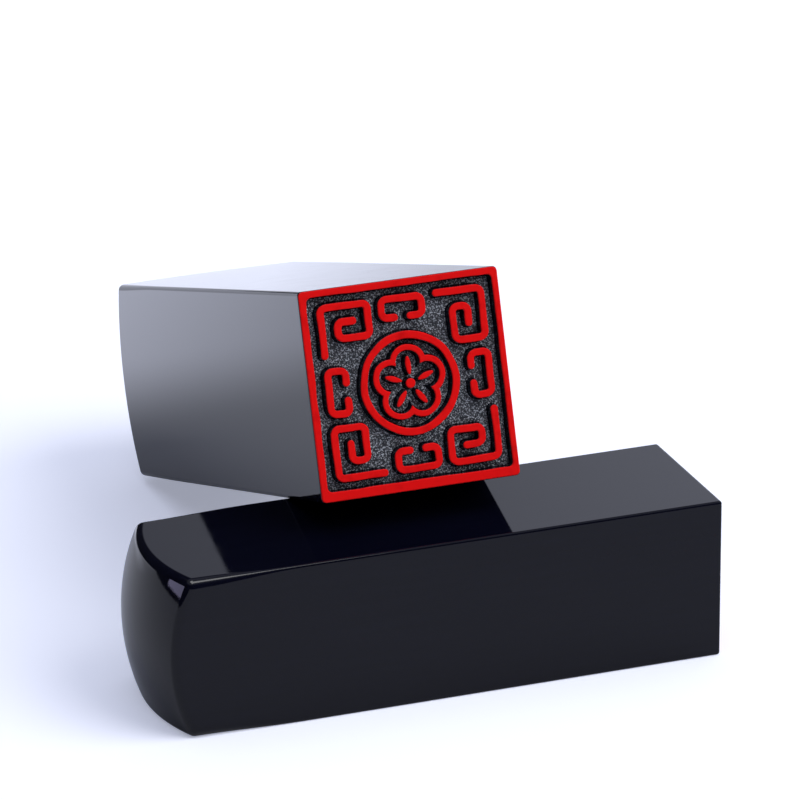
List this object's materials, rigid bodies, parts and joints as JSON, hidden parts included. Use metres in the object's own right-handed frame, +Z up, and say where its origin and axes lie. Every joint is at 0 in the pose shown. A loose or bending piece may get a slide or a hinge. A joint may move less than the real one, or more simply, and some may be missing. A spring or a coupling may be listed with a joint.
{
  "type": "seal stamp",
  "caption": "Pair of square seal stamps in polished black horn with domed tops, carved faces and red paste, the larger one leaning over the smaller.",
  "frame": {"origin": "centre of the flat side that the small seal lies on, midway between its carved face and the corners of its dome", "axes": "+Z up; +X along the small seal from its dome to its carved face; -Y towards the side that the large seal's carved face looks to; +Y along the pair's longest extent"},
  "size_m": [0.0711, 0.088, 0.0481],
  "materials": {
    "polished_horn": "polished",
    "red_paste": "waxy"
  },
  "bodies": {
    "small_seal": {"small_seal_block": "polished_horn", "small_seal_border_paste": "red_paste", "small_seal_corner_bracket_paste": "red_paste", "small_seal_corner_dot_paste": "red_paste", "small_seal_side_petal_paste": "red_paste", "small_seal_ring_paste": "red_paste", "small_seal_rosette_petal_paste": "red_paste", "small_seal_rosette_heart_paste": "red_paste"},
    "large_seal": {"large_seal_block": "polished_horn", "large_seal_border_paste": "red_paste", "large_seal_corner_spiral_paste": "red_paste", "large_seal_side_bracket_paste": "red_paste", "large_seal_ring_paste": "red_paste", "large_seal_blossom_line_paste": "red_paste", "large_seal_blossom_stamen_paste": "red_paste", "large_seal_blossom_heart_paste": "red_paste"}
  },
  "joints": [
    {"name": "large_seal_lift", "type": "slide", "parent": "small_seal", "child": "large_seal", "axis": [0, 0, 1], "range_m": [0, 0.06]}
  ]
}
